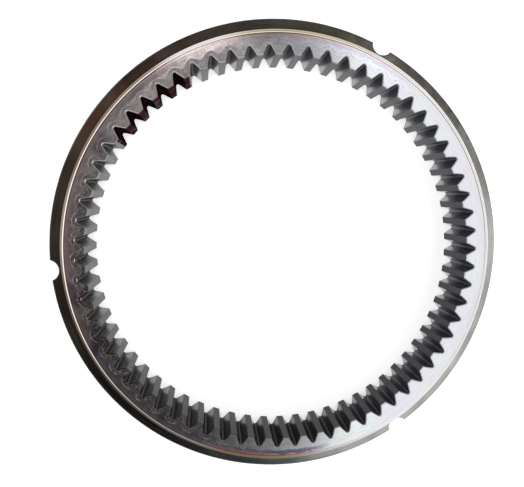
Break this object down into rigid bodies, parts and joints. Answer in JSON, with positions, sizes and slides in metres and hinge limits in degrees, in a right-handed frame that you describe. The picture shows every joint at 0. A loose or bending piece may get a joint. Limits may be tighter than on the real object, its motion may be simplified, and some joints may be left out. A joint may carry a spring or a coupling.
{
  "type": "internal ring gear",
  "caption": "Steel internal ring gear with straight V-shaped teeth, a stepped register on one face and half-round pin notches in its rim.",
  "frame": {"origin": "centre of the bore, on the lower face", "axes": "+Z along the bore axis from the lower face towards the stepped register; +X through the middle of the first pin notch, behind the middle of a tooth"},
  "size_m": [0.3158, 0.316, 0.045],
  "materials": {
    "steel": "ground and turned alloy steel with faint temper colours round the teeth"
  },
  "bodies": {
    "root": {"ring_gear": "steel"}
  },
  "joints": []
}
